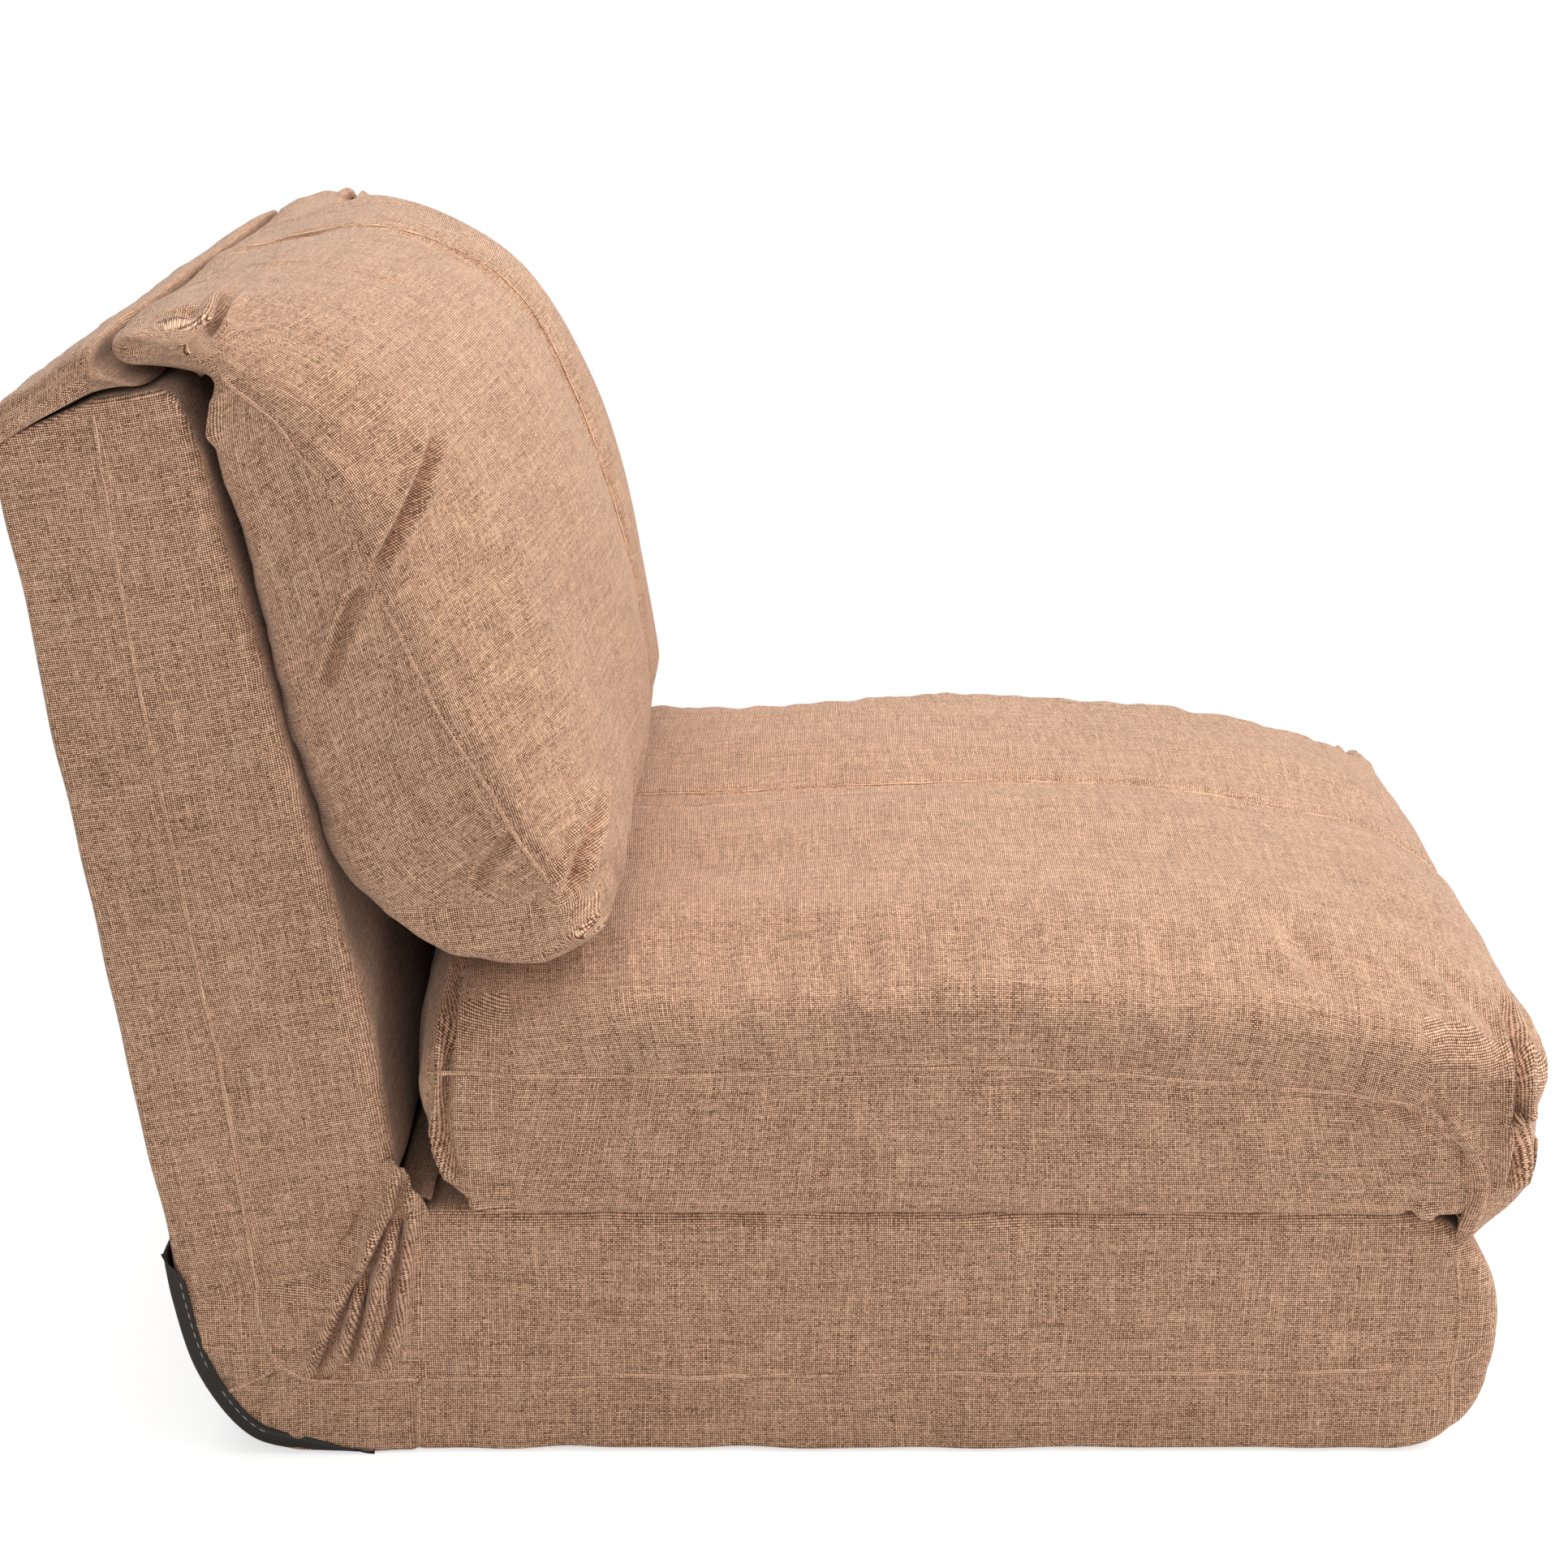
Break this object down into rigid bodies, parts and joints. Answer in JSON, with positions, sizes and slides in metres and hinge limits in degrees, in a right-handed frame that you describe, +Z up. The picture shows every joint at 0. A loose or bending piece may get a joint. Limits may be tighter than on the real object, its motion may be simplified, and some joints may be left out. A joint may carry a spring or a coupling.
{
  "type": "reclining floor chair",
  "caption": "Low armless lounge chair with a padded base, loose seat and back cushions and a back that reclines flat on ratchet hinges.",
  "frame": {"origin": "on the floor under the middle of the chair's bounding box, in the pictured upright pose", "axes": "+X forwards, the way a sitter faces; +Y to the sitter's left; +Z up"},
  "size_m": [0.9464, 0.7, 0.7427],
  "materials": {
    "upholstery": "linen-look basket weave",
    "foam": "open-cell foam, plain",
    "frame_paint": "black powder coat",
    "hinge_steel": "zinc plated",
    "leatherette": "grained, semi-matt"
  },
  "bodies": {
    "base": {"base_cover_lower": "upholstery", "base_cover_upper": "upholstery", "base_foam_lower": "foam", "base_foam_upper": "foam", "seat_frame": "frame_paint", "hinge_arm_left": "hinge_steel", "hinge_arm_right": "hinge_steel", "hinge_plate_left": "hinge_steel", "hinge_plate_right": "hinge_steel", "pivot_rivet_left": "hinge_steel", "pivot_rivet_right": "hinge_steel", "spacer_left": "hinge_steel", "spacer_right": "hinge_steel", "pawl_pin_left": "hinge_steel", "pawl_pin_right": "hinge_steel", "seat_cushion": "upholstery", "seat_front_strip": "upholstery", "hinge_patch": "leatherette", "hinge_fold": "upholstery", "hinge_gusset_left": "upholstery", "hinge_gusset_right": "upholstery"},
    "back": {"back_cover_rear": "upholstery", "back_cover_front": "upholstery", "back_foam_rear": "foam", "back_foam_front": "foam", "back_frame": "frame_paint", "toothed_arm_left": "hinge_steel", "toothed_arm_right": "hinge_steel", "back_top_wrap": "upholstery"},
    "back_pad": {"back_cushion": "upholstery"},
    "pawl_l": {"pawl_left": "hinge_steel"},
    "pawl_r": {"pawl_right": "hinge_steel"}
  },
  "joints": [
    {"name": "recline", "type": "hinge", "parent": "base", "child": "back", "pos_m": [-0.296, 0, 0.098], "axis": [0, -1, 0], "range_deg": [0, 81], "deforming": ["hinge_patch", "hinge_fold", "hinge_gusset_left", "hinge_gusset_right"]},
    {"name": "cushion_lift", "type": "hinge", "parent": "back", "child": "back_pad", "pos_m": [-0.4085, 0, 0.719], "axis": [0, -1, 0], "range_deg": [0, 95]},
    {"name": "pawl_left_swing", "type": "hinge", "parent": "base", "child": "pawl_l", "pos_m": [-0.25, 0.3066, 0.124], "axis": [0, 1, 0], "range_deg": [0, 20]},
    {"name": "pawl_right_swing", "type": "hinge", "parent": "base", "child": "pawl_r", "pos_m": [-0.25, -0.3066, 0.124], "axis": [0, 1, 0], "range_deg": [0, 20]}
  ]
}
